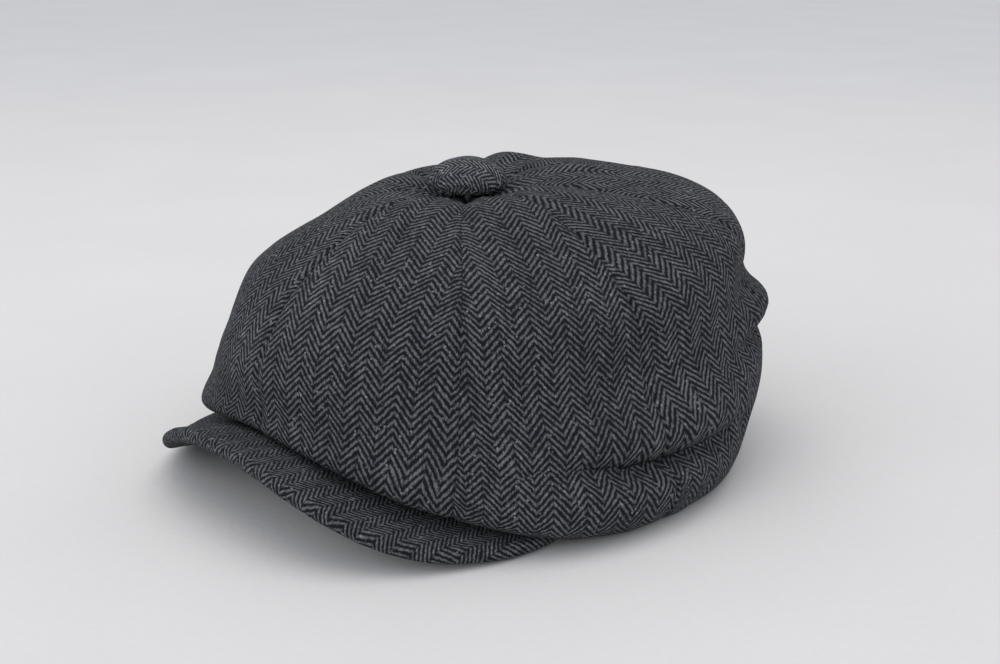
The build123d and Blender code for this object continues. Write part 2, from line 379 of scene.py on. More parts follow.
@lru_cache(maxsize=None)
def folded(number):
    """One panel of the crown with its folds but no seams: base points, normals and lift."""
    angles = panel_angles(number)
    stations, marks = even_stations((number + 0.5) * PANEL_ANGLE, ALONG)
    base = crown_grid(angles, stations)
    points = base.reshape(-1, 3)
    angle_of = np.tile(angles, ALONG + 1)
    lift = fold_heights(points) + ripple_heights(points) + button_press(points, angle_of)
    flat = np.clip((stations - LIE_STATION) / LIE_FADE, 0, 1)[:, None]
    return base, normals_of(base), lift.reshape(base.shape[:2]) * (1 - flat), stations, marks


def settled(points, stations):
    """Leans and drapes a panel, and keeps it off the table and the peak."""
    points = overhang(points)
    points = points + LEAN * lean_share(points)[..., None]
    points[..., 2] = np.maximum(points[..., 2], TABLE_CLEARANCE)
    reach = np.hypot(points[..., 0], points[..., 1])
    top, inside = visor_top(np.degrees(np.arctan2(points[..., 0], -points[..., 1])), reach)
    low = np.where(inside & (stations[:, None] > PEAK_STATION), top + PEAK_CLEARANCE, 0)
    points[..., 2] = np.maximum(points[..., 2], low)
    return points


def gore(number):
    """One tweed panel: its outer surface, its normals, its weave and its flat area."""
    base, normal, lift, stations, marks = folded(number)
    sideways = np.array([lengths_along(row) for row in base])
    sideways = sideways - sideways[:, 1:2]
    wide = sideways[:, -2:-1]
    to_edge = np.minimum(sideways, wide - sideways)
    valley = -SEAM_VALLEY * np.exp(-(to_edge / SEAM_WIDTH) ** 2)
    puff = PUFF * np.sin(pi / 2 * np.clip(2 * to_edge / wide, 0, 1)) ** PUFF_ROUNDNESS
    shown = np.clip((PUFF_END - stations) / PUFF_FADE, 0, 1)[:, None]
    outer = settled(base + normal * (lift + valley + puff * shown)[..., None], stations)
    weave = np.stack([sideways - wide / 2, np.repeat(marks[:, None], base.shape[1], 1)], -1)
    flat_area = float(wide.mean() * marks[-1])
    return outer[:, 1:-1], normals_of(outer)[:, 1:-1], weave[:, 1:-1], flat_area


# ---- mesh making -------------------------------------------------------------

def new_object(name, vertices, faces, weave=None, smooth=True):
    """A mesh object from points in millimetres. weave holds one pair for each vertex."""
    mesh = bpy.data.meshes.new(name)
    mesh.from_pydata((np.asarray(vertices) * MM).tolist(), [], faces)
    if weave is not None:
        layer = mesh.uv_layers.new(name="weave")
        loops = np.zeros(len(mesh.loops), dtype=np.int32)
        mesh.loops.foreach_get("vertex_index", loops)
        layer.data.foreach_set("uv", np.asarray(weave, float)[loops].ravel())
    if smooth:
        mesh.polygons.foreach_set("use_smooth", [True] * len(mesh.polygons))
    mesh.validate()
    mesh.update()
    piece = bpy.data.objects.new(name, mesh)
    bpy.context.scene.collection.objects.link(piece)
    return piece


def shell(name, outer, weave, thickness, closed=False, normal=None):
    """A sheet of cloth with thickness, from its outer grid of points."""
    rows, columns = outer.shape[:2]
    if normal is None:
        normal = normals_of(outer)
    if closed:
        wrapped = np.concatenate([outer[:, -2:-1], outer, outer[:, 1:2]], axis=1)
        normal = normals_of(wrapped)[:, 1:-1]
    inner = outer - normal * thickness
    inner[..., 2] = np.maximum(inner[..., 2], TABLE_CLEARANCE / 2)
    count = rows * columns
    vertices = np.concatenate([outer.reshape(-1, 3), inner.reshape(-1, 3)])
    pairs = np.concatenate([weave.reshape(-1, 2), weave.reshape(-1, 2)])
    spans = columns if closed else columns - 1
    faces = []
    for i in range(rows - 1):
        for j in range(spans):
            k = (j + 1) % columns
            a, b = i * columns + j, i * columns + k
            c, d = b + columns, a + columns
            faces.append((a, d, c, b))
            faces.append((a + count, b + count, c + count, d + count))
    for j in range(spans):
        k = (j + 1) % columns
        low = (rows - 1) * columns
        faces.append((j, k, k + count, j + count))
        faces.append((low + j, low + j + count, low + k + count, low + k))
    if not closed:
        for i in range(rows - 1):
            a, b = i * columns, (i + 1) * columns
            faces.append((a, a + count, b + count, b))
            a, b = a + columns - 1, b + columns - 1
            faces.append((a, b, b + count, a + count))
    return new_object(name, vertices, faces, pairs)


# ---- materials ---------------------------------------------------------------

class Graph:
    """Short names for building a material's nodes."""

    def __init__(self, name):
        self.material = bpy.data.materials.new(name)
        self.material.use_nodes = True
        self.tree = self.material.node_tree
        self.shader = self.tree.nodes["Principled BSDF"]

    def node(self, kind, **settings):
        made = self.tree.nodes.new(kind)
        for key, value in settings.items():
            setattr(made, key, value)
        return made

    def feed(self, socket, value):
        if hasattr(value, "is_output"):
            self.tree.links.new(value, socket)
        elif value is not None:
            socket.default_value = value

    def math(self, operation, *values):
        made = self.node("ShaderNodeMath", operation=operation)
        for socket, value in zip(made.inputs, values):
            self.feed(socket, value)
        return made.outputs[0]

    def times(self, first, second):
        return self.math("MULTIPLY", first, second)

    def line(self, value, slope, start):
        """The value times a slope, plus a start."""
        return self.math("MULTIPLY_ADD", value, slope, start)

    def steps(self, value, low, high):
        """0 at the low value and 1 at the high one, with a smooth rise between them."""
        made = self.node("ShaderNodeMapRange", interpolation_type="SMOOTHSTEP")
        for socket, number in zip(made.inputs, (value, low, high, 0.0, 1.0)):
            self.feed(socket, number)
        return made.outputs[0]

    def mix(self, share, first, second):
        made = self.node("ShaderNodeMix", data_type="RGBA")
        self.feed(made.inputs[0], share)
        self.feed(made.inputs[6], first)
        self.feed(made.inputs[7], second)
        return made.outputs[2]

    def scaled(self, colour, amount):
        made = self.node("ShaderNodeVectorMath", operation="SCALE")
        self.feed(made.inputs[0], colour[:3] if isinstance(colour, tuple) else colour)
        self.feed(made.inputs["Scale"], amount)
        return made.outputs[0]

    def noise(self, place, scale, detail=2.0, roughness=0.5):
        made = self.node("ShaderNodeTexNoise")
        self.feed(made.inputs["Vector"], place)
        self.feed(made.inputs["Scale"], scale)
        self.feed(made.inputs["Detail"], detail)
        self.feed(made.inputs["Roughness"], roughness)
        return made.outputs["Fac"]

    def random(self, number):
        made = self.node("ShaderNodeTexWhiteNoise", noise_dimensions="1D")
        self.feed(made.inputs["W"], number)
        return made.outputs["Value"]

    def object_place(self):
        return self.node("ShaderNodeTexCoord").outputs["Object"]

    def weave_place(self):
        """The cloth's own coordinates across and along it, in millimetres."""
        place = self.node("ShaderNodeUVMap", uv_map="weave").outputs[0]
        parts = self.node("ShaderNodeSeparateXYZ")
        self.feed(parts.inputs[0], place)
        return place, parts.outputs[0], parts.outputs[1]

    def bump(self, height, distance, strength=1.0):
        made = self.node("ShaderNodeBump")
        self.feed(made.inputs["Height"], height)
        made.inputs["Distance"].default_value = distance
        made.inputs["Strength"].default_value = strength
        self.tree.links.new(made.outputs[0], self.shader.inputs["Normal"])

    def surface(self, colour, roughness, specular=0.3, sheen=0.0, sheen_roughness=0.4, metal=0.0):
        self.feed(self.shader.inputs["Base Color"], colour)
        self.feed(self.shader.inputs["Roughness"], roughness)
        self.shader.inputs["Specular IOR Level"].default_value = specular
        self.shader.inputs["Sheen Weight"].default_value = sheen
        self.shader.inputs["Sheen Roughness"].default_value = sheen_roughness
        self.shader.inputs["Metallic"].default_value = metal


STRIPE = 7.5                # width of one herringbone column
STRIPE_SEAM = 0.45          # darker line where two columns meet
TWILL = 3.3                 # height of one light and one dark line
TWILL_SLOPE = 1.05          # rise of the lines for each millimetre across
YARN = 0.64                 # spacing of the yarns across the cloth
DARK_WOOL = (0.0122, 0.0135, 0.0192, 1)
LIGHT_WOOL = (0.178, 0.180, 0.185, 1)
WHITE_FLECK = (0.42, 0.42, 0.41, 1)
WHITE_SHARE = 0.95          # flecks above this random number are white
TINTED_SHARE = 0.12         # and flecks below this one are coloured
FLECK_HUES = (0.085, 0.10, 0.14, 1)


def tweed_material(name, painted_light_gain=1.0):
    """Herringbone wool: light twill lines on a dark ground, in columns that lean in turn."""
    g = Graph(name)
    place, across, along = g.weave_place()
    solid = g.object_place()

    wobble = g.line(g.noise(place, 0.11, 2.0), 1.1, -0.55)
    across = g.math("ADD", across, wobble)
    drift = g.line(g.noise(place, 0.35, 2.0), 0.9, -0.45)
    along = g.math("ADD", along, drift)

    column = g.math("DIVIDE", across, STRIPE)
    number = g.math("FLOOR", column)
    inside = g.times(g.math("SUBTRACT", column, number), STRIPE)
    odd = g.math("MODULO", g.math("ABSOLUTE", number), 2.0)
    lean = g.line(odd, -2.0 * TWILL_SLOPE, TWILL_SLOPE)
    rise = g.times(lean, inside)
    phase = g.math("DIVIDE", g.math("ADD", along, rise), TWILL)
    phase = g.math("ADD", phase, g.times(odd, 0.5))
    wave = g.math("COSINE", g.times(phase, 2 * pi))

    strand = g.math("DIVIDE", across, YARN)
    twist = g.math("COSINE", g.times(strand, 2 * pi))
    warp_number = g.math("FLOOR", strand)
    line_number = g.math("FLOOR", phase)
    warp_tone = g.random(warp_number)
    line_tone = g.random(g.line(line_number, 7.0, number))
    float_tone = g.random(g.line(line_number, 113.0, warp_number))

    fibre = g.noise(solid, 1500.0, 3.0, 0.7)
    tuft = g.noise(solid, 420.0, 2.0, 0.6)
    cloudy = g.noise(solid, 28.0, 3.0)

    height = g.line(g.math("SUBTRACT", fibre, 0.5), 2.6, wave)
    height = g.line(twist, 0.28, height)
    height = g.line(g.math("SUBTRACT", float_tone, 0.5), 0.7, height)
    height = g.line(g.math("SUBTRACT", tuft, 0.5), 1.6, height)
    light = g.steps(height, -0.55, 1.35)
    from_middle = g.math("ABSOLUTE", g.math("SUBTRACT", inside, STRIPE / 2))
    gap = g.steps(from_middle, STRIPE / 2 - STRIPE_SEAM, STRIPE / 2)
    light = g.times(light, g.line(gap, -0.35, 1.0))
    tone = g.line(warp_tone, 0.3, 0.45)
    tone = g.line(line_tone, 0.25, tone)
    tone = g.line(float_tone, 0.55, tone)
    tone = g.times(tone, g.line(tuft, 0.6, 0.6))
    tone = g.times(tone, g.line(fibre, 2.2, -0.2))
    light = g.times(light, tone)
    colour = g.mix(light, DARK_WOOL, LIGHT_WOOL)

    cells = g.node("ShaderNodeTexVoronoi", feature="F1")
    g.feed(cells.inputs["Vector"], solid)
    cells.inputs["Scale"].default_value = 650.0
    hue = g.node("ShaderNodeSeparateColor")
    g.feed(hue.inputs[0], cells.outputs["Color"])
    near = g.steps(cells.outputs["Distance"], 0.42, 0.2)
    chosen = g.math("GREATER_THAN", hue.outputs[0], WHITE_SHARE)
    white = g.times(g.times(near, chosen), 0.5)
    colour = g.mix(white, colour, WHITE_FLECK)
    tint = g.times(g.math("LESS_THAN", hue.outputs[0], TINTED_SHARE), near)
    tint = g.times(tint, 0.5)
    fleck = g.node("ShaderNodeHueSaturation")
    g.feed(fleck.inputs["Hue"], hue.outputs[1])
    fleck.inputs["Saturation"].default_value = 1.2
    fleck.inputs["Color"].default_value = FLECK_HUES
    colour = g.mix(tint, colour, fleck.outputs[0])

    shade = g.line(cloudy, 0.5, 0.75)
    # painted light: a gain above 1 makes a lighter copy of the tweed, as light falling on the
    # cap's top
    shade = g.times(shade, painted_light_gain)
    colour = g.scaled(colour, shade)
    g.surface(colour, 0.95, specular=0.06, sheen=0.02, sheen_roughness=0.5)
    g.shader.inputs["Sheen Tint"].default_value = (0.9, 0.93, 1.0, 1)
    g.bump(height, 0.00022, 0.7)
    return g.material


def satin_material(name, colour, ridge=0.35):
    """Close satin with fine ribs along it and a soft sheen."""
    g = Graph(name)
    across = g.weave_place()[1]
    ribs = g.math("SINE", g.times(across, 2 * pi / ridge))
    streaks = g.noise(g.object_place(), 60.0, 4.0)
    light = g.line(ribs, 0.08, g.line(streaks, 0.5, 0.75))
    roughness = g.line(streaks, 0.2, 0.28)
    g.surface(g.scaled(colour, light), roughness, specular=0.5, sheen=0.3, sheen_roughness=0.3)
    g.bump(ribs, 0.00004, 0.5)
    return g.material


def cotton_material(name, colour, pitch=0.9):
    """Diagonal cotton twill."""
    g = Graph(name)
    across, along = g.weave_place()[1:]
    slant = g.math("ADD", across, along)
    ribs = g.math("SINE", g.times(slant, 2 * pi / pitch))
    fibre = g.noise(g.object_place(), 900.0, 3.0, 0.7)
    light = g.line(ribs, 0.22, g.line(fibre, 0.7, 0.62))
    g.surface(g.scaled(colour, light), 0.85, specular=0.2, sheen=0.25)
    g.bump(g.math("ADD", ribs, fibre), 0.00012, 0.7)
    return g.material


def solid_cloth_material(name, colour, pitch=0.7):
    """Ribbed tape woven plainly, placed by the object's own space."""
    g = Graph(name)
    place = g.object_place()
    parts = g.node("ShaderNodeSeparateXYZ")
    g.feed(parts.inputs[0], place)
    ribs = g.math("SINE", g.times(parts.outputs[2], 2 * pi / (pitch * MM)))
    fibre = g.noise(place, 1100.0, 3.0, 0.7)
    light = g.line(ribs, 0.15, g.line(fibre, 0.7, 0.62))
    g.surface(g.scaled(colour, light), 0.88, specular=0.2, sheen=0.2)
    g.bump(g.math("ADD", ribs, fibre), 0.0001, 0.6)
    return g.material


def plastic_material(name, colour):
    """Moulded board with a fine grain."""
    g = Graph(name)
    grain = g.noise(g.object_place(), 700.0, 4.0, 0.6)
    cloud = g.noise(g.object_place(), 35.0, 2.0)
    light = g.line(cloud, 0.25, 0.85)
    g.surface(g.scaled(colour, light), g.line(grain, 0.25, 0.4), specular=0.4)
    g.bump(grain, 0.00008, 0.5)
    return g.material


def metal_material(name, colour):
    """Pressed metal with fine turning marks."""
    g = Graph(name)
    place = g.object_place()
    parts = g.node("ShaderNodeSeparateXYZ")
    g.feed(parts.inputs[0], place)
    squares = [g.times(parts.outputs[i], parts.outputs[i]) for i in range(2)]
    away = g.math("SQRT", g.math("ADD", squares[0], squares[1]))
    marks = g.noise(g.times(away, 4000.0), 1.0, 3.0)
    scuffs = g.noise(place, 300.0, 4.0)
    light = g.line(scuffs, 0.3, 0.8)
    g.surface(g.scaled(colour, light), g.line(marks, 0.3, 0.2), metal=1.0)
    g.bump(marks, 0.00003, 0.4)
    return g.material


def floor_material():
    """Matt pale tabletop cloth with a faint unevenness."""
    g = Graph("pale_floor")
    place = g.object_place()
    fine = g.noise(place, 240.0, 4.0, 0.6)
    broad = g.noise(place, 6.0, 3.0)
    light = g.line(broad, 0.08, g.line(fine, 0.06, 0.93))
    g.surface(g.scaled((0.80, 0.77, 0.765, 1), light), 0.9, specular=0.1)
    g.bump(fine, 0.0006, 0.25)
    return g.material


# ---- camera, light and floor -------------------------------------------------

def make_camera():
    """Three-quarter front view from the wearer's left, a little above the cap."""
    azimuth, elevation, distance = radians(47.5), radians(17.4), 0.678
    low, high = CAD_BOX
    target = Vector((0.0614 * (high[0] - low[0]), 0.019 * (high[1] - low[1]), 0.427 * high[2]))
    back = Vector((sin(azimuth) * cos(elevation), -cos(azimuth) * cos(elevation), sin(elevation)))
    data = bpy.data.cameras.new("camera")
    data.lens = 50
    data.sensor_width = 36
    data.clip_start = 0.01
    camera = bpy.data.objects.new("camera", data)
    camera.location = target + back * distance
    camera.rotation_euler = (-back).to_track_quat("-Z", "Y").to_euler()
    bpy.context.scene.collection.objects.link(camera)
    bpy.context.scene.camera = camera


def area_light(name, place, aim, size, power, colour):
    """A square soft light at a place, turned towards its aim."""
    data = bpy.data.lights.new(name, "AREA")
    data.size = size
    data.energy = power
    data.color = colour
    light = bpy.data.objects.new(name, data)
    light.location = place
    light.rotation_euler = (Vector(aim) - Vector(place)).to_track_quat("-Z", "Y").to_euler()
    bpy.context.scene.collection.objects.link(light)


def make_stage():
    """Plain pale floor, even sky and two soft lights."""
    half = 4000
    corners = [(-half, -half, 0), (half, -half, 0), (half, half, 0), (-half, half, 0)]
    floor = new_object("pale_floor", corners, [(0, 1, 2, 3)], smooth=False)
    floor.data.materials.append(floor_material())
    world = bpy.data.worlds.new("soft_sky")
    world.use_nodes = True
    sky = world.node_tree.nodes["Background"]
    sky.inputs["Color"].default_value = (0.89, 0.94, 1.0, 1)
    sky.inputs["Strength"].default_value = 0.80
    bpy.context.scene.world = world
    middle = (0, 0, 0.06)
    area_light("top_softbox", (-0.1, 0.1, 1.6), middle, 1.6, 6.5, (1.0, 0.92, 0.80))
    area_light("front_softbox", (-0.2, -1.6, 0.8), middle, 1.3, 4.5, (0.92, 0.96, 1.0))
    bpy.context.scene.view_settings.view_transform = "Standard"


# ---- pieces ------------------------------------------------------------------

FRONT_PANELS = ("front_left", "front_right", "left_front", "right_front")


def bend_with_peak(piece):
    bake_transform(piece)


def follow(piece, place):
    """Panels that reach the peak keep their placing baked into the mesh and join no body; the
    others ride on the crown.
    """
    if place in FRONT_PANELS:
        bend_with_peak(piece)
    else:
        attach(piece, "crown")


WEAVE_STEP = [3.1, 5.7]     # the weave starts this much further on, panel by panel


def dress(piece, material, node):
    """Gives a piece its material and puts it in the place of its CAD node."""
    piece.data.materials.append(material)
    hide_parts(node)


def make_crown(tweed):
    """Eight tweed panels, each a sheet with thickness that meets its neighbours at the seams."""
    for number, place in enumerate(PLACES):
        outer, normal, weave, flat_area = gore(number)
        weave = weave + [number * step for step in WEAVE_STEP]
        piece = shell("tweed_" + place, outer, weave, TWEED, normal=normal)
        dress(piece, tweed, "crown_panel_" + place)
        follow(piece, place)


SATIN = 0.5
LINING_DEPTH = 4.2          # lining below the tweed's outer face
LINING_START = 0.12         # station where the lining starts, clear of the button's shank
LINING_FREE = 3.9           # station from which it hangs free down to the sweatband
LINING_END_STEPS = 30
LINING_END_GAP = 1.6        # lower edge outside the headband edge
LINING_END_RISE = 9         # and above it
LINING_BEND = 0.3           # how far it keeps its heading before it turns down
LINING_RIPPLES = [(14, 0.5)]  # size and height of its random swells


def lining_rows(number):
    """A lining panel: it follows the tweed inside the walls, then runs to the sweatband."""
    base, normal, lift, stations, _ = folded(number)
    outside = settled(base + normal * lift[..., None], stations)
    inner = outside - normals_of(outside) * LINING_DEPTH
    keep = inner[(stations > LINING_START) & (stations < LINING_FREE)]
    angles = panel_angles(number)
    edge = outline(angles)[-1]
    end = np.stack([edge[:, 0] + LINING_END_GAP, edge[:, 1] + LINING_END_RISE], -1)
    end = in_space(angles, end)
    last = keep[-1]
    heading = unit(keep[-1] - keep[-6])
    turn = last + heading * np.linalg.norm(end - last, axis=-1, keepdims=True) * LINING_BEND
    rows = [keep]
    for i in range(1, LINING_END_STEPS + 1):
        t = i / LINING_END_STEPS
        rows.append(((1 - t) ** 2 * last + 2 * t * (1 - t) * turn + t ** 2 * end)[None])
    rows = roughened(np.concatenate(rows), LINING_RIPPLES)
    return rows[:, 1:-1], normals_of(rows)[:, 1:-1]


def make_lining(satin):
    """Eight satin panels inside the tweed."""
    for number, place in enumerate(PLACES):
        rows, normal = lining_rows(number)
        sideways = np.array([lengths_along(row) for row in rows])
        marks = lengths_along(rows[:, ACROSS // 2])
        weave = np.stack([sideways, np.repeat(marks[:, None], ACROSS + 1, 1)], -1)
        piece = shell("lining_" + place, rows, weave, SATIN, normal=normal)
        dress(piece, satin, "lining_panel_" + place)
        follow(piece, place)


BAND_END_ANGLE = 178.6      # bands are open at the rear
BAND_WIDTH = 32
BAND_GAP = 1.8              # sweatband inside the headband edge
BAND_LOW = 0.8              # and above it, from here to here
BAND_HIGH = 32.6
BAND_CLOTH = 1.1
BAND_UNEVEN = 0.25          # height of the small waves along a band
BAND_WAVES = 23


def band_grid(gap, low, high, rows, columns=241, wave=0.0):
    """Upright band inside the headband edge, open at the rear, as a grid of points."""
    angles = np.linspace(-BAND_END_ANGLE, BAND_END_ANGLE, columns)
    edge = outline(angles)[-1]
    turn = np.radians(angles)
    grid = []
    for i in range(rows + 1):
        share = i / rows
        uneven = BAND_UNEVEN * np.sin(np.radians(angles) * BAND_WAVES + share * 2)
        bow = wave * sin(pi * share) + uneven
        reach = edge[:, 0] - gap - bow
        height = edge[:, 1] + low + (high - low) * share
        grid.append(np.stack([reach * np.sin(turn), -reach * np.cos(turn), height], -1))
    return np.array(grid)


def make_sweatband(cotton):
    """Cotton sweatband, a little bowed towards the inside between its edges."""
    grid = band_grid(BAND_GAP, BAND_LOW, BAND_HIGH, 18, wave=0.8)
    grid = grid[:, ::-1]
    run = lengths_along(grid[0])
    heights = np.linspace(0, BAND_WIDTH, grid.shape[0])
    weave = np.stack([np.repeat(run[None], grid.shape[0], 0),
                      np.repeat(heights[:, None], grid.shape[1], 1)], -1)
    piece = shell("cotton_sweatband", grid, weave, BAND_CLOTH)
    dress(piece, cotton, "sweatband")
    bend_with_peak(piece)


# Stitches: spacing, length and radius, and how far they stand from what they hold.
BAND_STITCH = (3.4, 2.4, 0.28)
BAND_STITCH_GAP = 2.95      # inside the headband edge
BAND_STITCH_HEIGHTS = {"sweatband_top_stitches": 30.0, "sweatband_low_stitches": 3.6}
LABEL_STITCH = (2.4, 1.7, 0.2)
LABEL_STITCH_GAP = 0.1      # below the label's lower face
LABEL_MARGIN = 2.2          # inside the label's border


def stitch_row(name, path, sizes, material):
    """A row of short thread stitches along a path, thinner at their ends."""
    spacing, length, radius = sizes
    run = lengths_along(path)
    count = int(run[-1] / spacing)
    sides, rings = 6, 5
    vertices, faces = [], []
    for n in range(count):
        start = (n + 0.5) * spacing - length / 2
        marks = start + length * np.linspace(0, 1, rings)
        centres = np.stack([np.interp(marks, run, path[:, i]) for i in range(3)], -1)
        heading = unit(centres[-1] - centres[0])
        side = unit(np.cross(heading, (0, 0, 1.0)))
        up = np.cross(side, heading)
        base = len(vertices)
        for r in range(rings):
            swell = radius * (0.35 + 0.65 * sin(pi * (r + 0.5) / rings))
            for s in range(sides):
                turn = 2 * pi * s / sides
                vertices.append(centres[r] + (side * cos(turn) + up * sin(turn)) * swell)
        for r in range(rings - 1):
            for s in range(sides):
                a, b = base + r * sides + s, base + r * sides + (s + 1) % sides
                faces.append((a, b, b + sides, a + sides))
        faces.append(tuple(base + s for s in reversed(range(sides))))
        faces.append(tuple(base + (rings - 1) * sides + s for s in range(sides)))
    piece = new_object(name, vertices, faces)
    piece.data.materials.append(material)
    return piece


def make_band_stitches(thread):
    """A row of stitches near the sweatband's upper edge and one near its lower edge."""
    for name, height in BAND_STITCH_HEIGHTS.items():
        path = band_grid(BAND_STITCH_GAP, height - 0.5, height + 0.5, 1, columns=481)[0]
        bend_with_peak(stitch_row(name, path, BAND_STITCH, thread))


def make_label_stitches(thread):
    """Stitches round the blank label's border, on its lower face."""
    low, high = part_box("blank_label")
    x, y = high[0] / MM - LABEL_MARGIN, high[1] / MM - LABEL_MARGIN
    z = low[2] / MM - LABEL_STITCH_GAP
    corners = [(-x, -y, z), (x, -y, z), (x, y, z), (-x, y, z), (-x, -y, z)]
    path = []
    for start, end in zip(corners, corners[1:]):
        path += [np.array(start) + (np.array(end) - start) * t for t in np.linspace(0, 0.99, 20)]
    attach(stitch_row("label_border_stitches", np.array(path), LABEL_STITCH, thread), "crown")


# ---- peak --------------------------------------------------------------------

VISOR_END = 66.5            # the peak's cloth runs on past the board's two ends
VISOR_THIN_START = 57       # and gets thinner from here
VISOR_SQUARENESS = 2.75
VISOR_HALF_WIDTH = 116
VISOR_TAPER = 76
VISOR_TAPER_POWER = 12
VISOR_ARCH_HALF = 118
VISOR_ARCH_POWER = 2.5
VISOR_ARCH_SOFTNESS = 2
VISOR_EDGE_LOW = 3.1        # middle of the peak's edge above the table at its corners
VISOR_EDGE_DROP = 2.4       # and below the peak's top at the front
VISOR_WRAP = 1.9            # cloth past the middle of the edge
VISOR_THICK = 5.0
VISOR_SWELL = 0.7           # the top is this much fuller between its root and its edge
VISOR_ROOT_GAP = 0.8        # root outside the headband edge
VISOR_ROOT_DROP = 3.2       # and below it at the front
VISOR_END_DROP = 3.3        # and this much more at the board's ends
VISOR_END_ANGLE = 60.5
VISOR_WEAVE = 1.3           # the tweed looks closer on the tightly covered peak
PEAK_CLOTH = 1.1            # the cloth's thickness round the board
BOARD = 1.6
BOARD_END = 58
FRONT_FLAT = 4.5            # the front edge is this much straighter than the outline
FRONT_FLAT_WIDTH = 24       # over this many degrees
SAG_ANGLE = -32             # the peak sags a little on the wearer's right
SAG_WIDTH = 14              # over this many degrees
SAG = 5.2                   # by this much
SAG_PULL = 2                # and its edge draws back by this much
PEAK_ANGLES = np.linspace(VISOR_END, -VISOR_END, 181)
TOP_ROWS = 34               # rows of the upper cloth from the root to the edge
TURN_STEPS = 14             # and round the edge
TUCK = (0.97, 0.93, 0.89, 0.85)  # and back under, as shares from the root to the edge
TOP_RIPPLES = [(16, 0.35), (5, 0.12)]
UNDER_EDGE = 0.87           # the lower cloth's edge
UNDER_DROP = 0.15           # and how far it stands below the upper cloth's tuck
UNDER_RIPPLES = [(14, 0.3)]


def visor_edge(angle):
    """Reach and height of the peak's outer edge at the middle of its thickness."""
    turn = np.radians(np.abs(angle))
    full = ((np.sin(turn) / VISOR_HALF_WIDTH) ** VISOR_SQUARENESS
            + (np.cos(turn) / (VISOR_REACH - VISOR_WRAP)) ** VISOR_SQUARENESS)
    full = full ** (-1 / VISOR_SQUARENESS)
    root = outline(angle)[-1][..., 0] + VISOR_ROOT_GAP
    taper = np.sqrt(np.clip(1 - (np.abs(angle) / VISOR_TAPER) ** VISOR_TAPER_POWER, 0, 1))
    reach = root + (full - root) * taper
    share = reach * np.sin(turn) / VISOR_ARCH_HALF
    arch = np.clip(1 - share ** VISOR_ARCH_POWER, 0, None) ** VISOR_ARCH_SOFTNESS
    sag = ring(angle, SAG_ANGLE, SAG_WIDTH)
    reach = reach - FRONT_FLAT * ring(angle, 0, FRONT_FLAT_WIDTH) - SAG_PULL * sag
    rise = VISOR_TOP - VISOR_EDGE_DROP - VISOR_EDGE_LOW
    return reach, VISOR_EDGE_LOW + rise * arch - SAG * sag


def visor_root(angle):
    """Reach and height of the peak's root at the middle of its thickness."""
    last = outline(angle)[-1]
    drop = VISOR_ROOT_DROP + VISOR_END_DROP * (angle / VISOR_END_ANGLE) ** 2
    return last[..., 0] + VISOR_ROOT_GAP, last[..., 1] - drop


def visor_thickness(angle):
    """Share of the peak's full thickness at an angle."""
    return np.interp(np.abs(angle), [VISOR_THIN_START, VISOR_END], [1, 0.55])


def visor_top(angle, reach):
    """Height of the peak's upper face below the crown, and whether the peak is there."""
    edge_reach, edge_height = visor_edge(angle)
    root_reach, root_height = visor_root(angle)
    share = (reach - root_reach) / (edge_reach - root_reach)
    inside = (share > 0) & (share < 1.04) & (np.abs(angle) < VISOR_END)
    top = root_height + (edge_height - root_height) * share
    half = VISOR_THICK / 2 * visor_thickness(angle)
    return top + half + VISOR_SWELL * np.sin(pi * share), inside


def visor_rows(angles, offsets):
    """Points of the peak: each offset is (share from root to edge, past the edge, up)."""
    edge_reach, edge_height = visor_edge(angles)
    root_reach, root_height = visor_root(angles)
    thin = visor_thickness(angles)
    rows = []
    for share, past, up in offsets:
        past, up = past * thin, up * thin
        reach = root_reach + (edge_reach - root_reach) * share
        height = root_height + (edge_height - root_height) * share
        along = np.hypot(edge_reach - root_reach, edge_height - root_height)
        reach = reach + past * (edge_reach - root_reach) / along
        height = height + past * (edge_height - root_height) / along + up
        rows.append(in_space(angles, np.stack([reach, height], -1)))
    return np.array(rows)


def visor_weave(grid, flat_rows):
    """Weave coordinates of the peak: the columns run straight from the back to the front.

    Past the first flat_rows the cloth turns round the edge, so the weave carries on
    outwards there by the length of cloth.
    """
    x, y = grid[..., 0], grid[..., 1]
    weave = np.stack([x * (1 + 0.05 * (x / 100) ** 2), -y * 1.02], -1) * VISOR_WEAVE
    edge = weave[flat_rows - 1]
    outward = unit(edge - weave[flat_rows - 3])
    turned = np.zeros(grid.shape[1])
    for row in range(flat_rows, len(grid)):
        turned = turned + np.linalg.norm(grid[row] - grid[row - 1], axis=-1)
        weave[row] = edge + outward * turned[:, None] * VISOR_WEAVE
    return weave


def peak_cloth(name, node, grid, flat_rows, tweed):
    """One cloth of the peak, from its outer grid, whose edge row is its widest."""
    grid[..., 2] = np.maximum(grid[..., 2], TABLE_CLEARANCE)
    piece = shell(name, grid, visor_weave(grid, flat_rows), PEAK_CLOTH)
    dress(piece, tweed, node)
    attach(piece, "visor")


def make_peak_top(tweed):
    """The peak's upper cloth, turned round its edge and tucked under."""
    half = VISOR_THICK / 2
    offsets = [(share, 0, half + VISOR_SWELL * sin(pi * share))
               for share in np.linspace(0, 1, TOP_ROWS)]
    for i in range(1, TURN_STEPS + 1):
        turn = pi / 2 - pi * i / TURN_STEPS
        offsets.append((1, half * cos(turn), half * sin(turn)))
    offsets += [(share, 0, -half) for share in TUCK]
    grid = roughened(visor_rows(PEAK_ANGLES, offsets), TOP_RIPPLES)
    peak_cloth("peak_top_cloth", "visor_top_cover", grid, TOP_ROWS, tweed)


